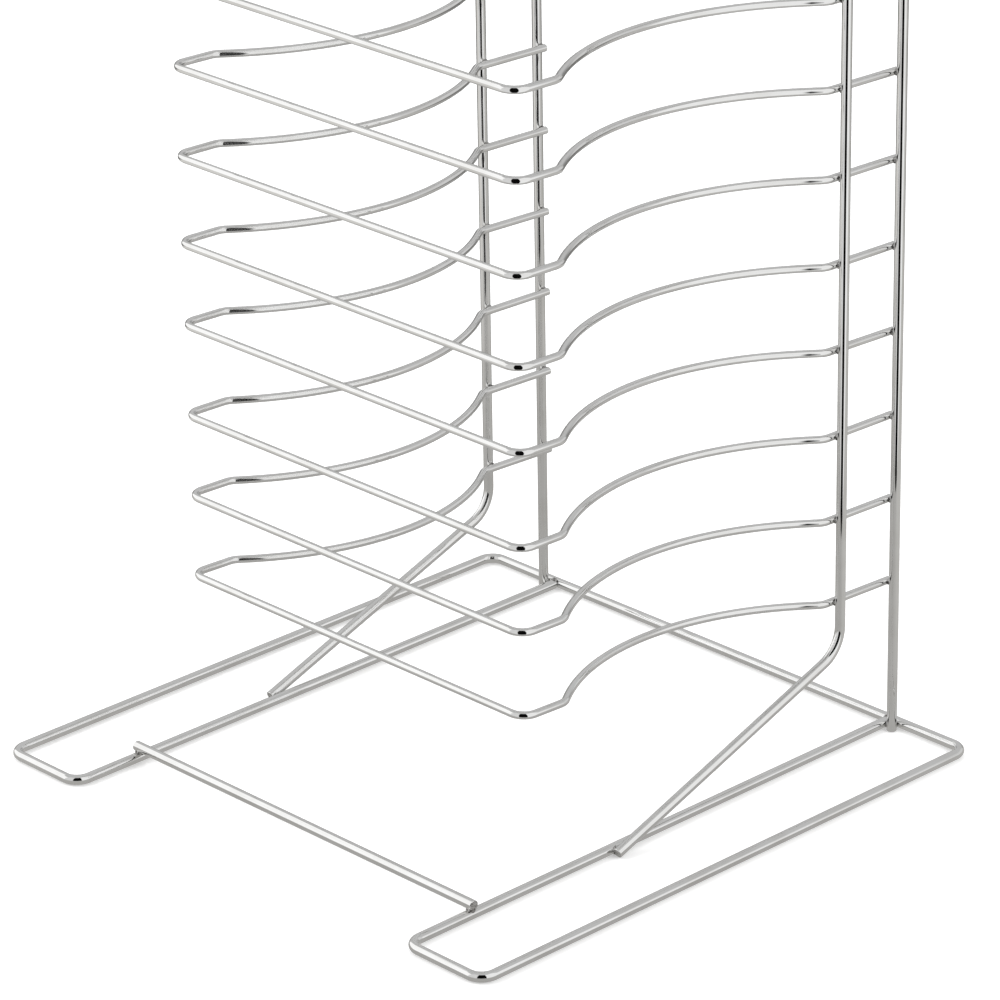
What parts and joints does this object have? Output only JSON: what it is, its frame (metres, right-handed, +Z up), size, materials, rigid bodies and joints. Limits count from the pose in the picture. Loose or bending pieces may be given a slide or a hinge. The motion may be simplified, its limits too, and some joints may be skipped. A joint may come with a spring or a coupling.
{
  "type": "pizza pan rack",
  "caption": "Tall open wire rack for round pans: U-shaped shelf wires with drawn-in sides, spot welded to two hooped side frames with braces, on a bent wire base.",
  "frame": {"origin": "on the table, under the middle of the base wire's outline", "axes": "+Z up, +X to the rack's right and +Y to its back, where the uprights are; pans go in from the front, along +Y"},
  "size_m": [0.3198, 0.3148, 0.6858],
  "materials": {
    "wire": "bright chrome plate on drawn steel wire, with slight draw marks along the wire",
    "weld": "chrome plate over rough spot-weld flash, darker and grainy"
  },
  "bodies": {
    "root": {"base_wire": "wire", "front_cross_bar": "wire", "left_side_frame": "wire", "right_side_frame": "wire", "shelf_wire_01": "wire", "shelf_wire_02": "wire", "shelf_wire_03": "wire", "shelf_wire_04": "wire", "shelf_wire_05": "wire", "shelf_wire_06": "wire", "shelf_wire_07": "wire", "shelf_wire_08": "wire", "shelf_wire_09": "wire", "shelf_wire_10": "wire", "shelf_wire_11": "wire", "shelf_wire_12": "wire", "shelf_wire_13": "wire", "shelf_wire_14": "wire", "shelf_wire_15": "wire", "front_base_welds": "weld", "rear_base_welds": "weld", "shelf_welds_01": "weld", "shelf_welds_02": "weld", "shelf_welds_03": "weld", "shelf_welds_04": "weld", "shelf_welds_05": "weld", "shelf_welds_06": "weld", "shelf_welds_07": "weld", "shelf_welds_08": "weld", "shelf_welds_09": "weld", "shelf_welds_10": "weld", "shelf_welds_11": "weld", "shelf_welds_12": "weld", "shelf_welds_13": "weld", "shelf_welds_14": "weld", "shelf_welds_15": "weld"}
  },
  "joints": []
}
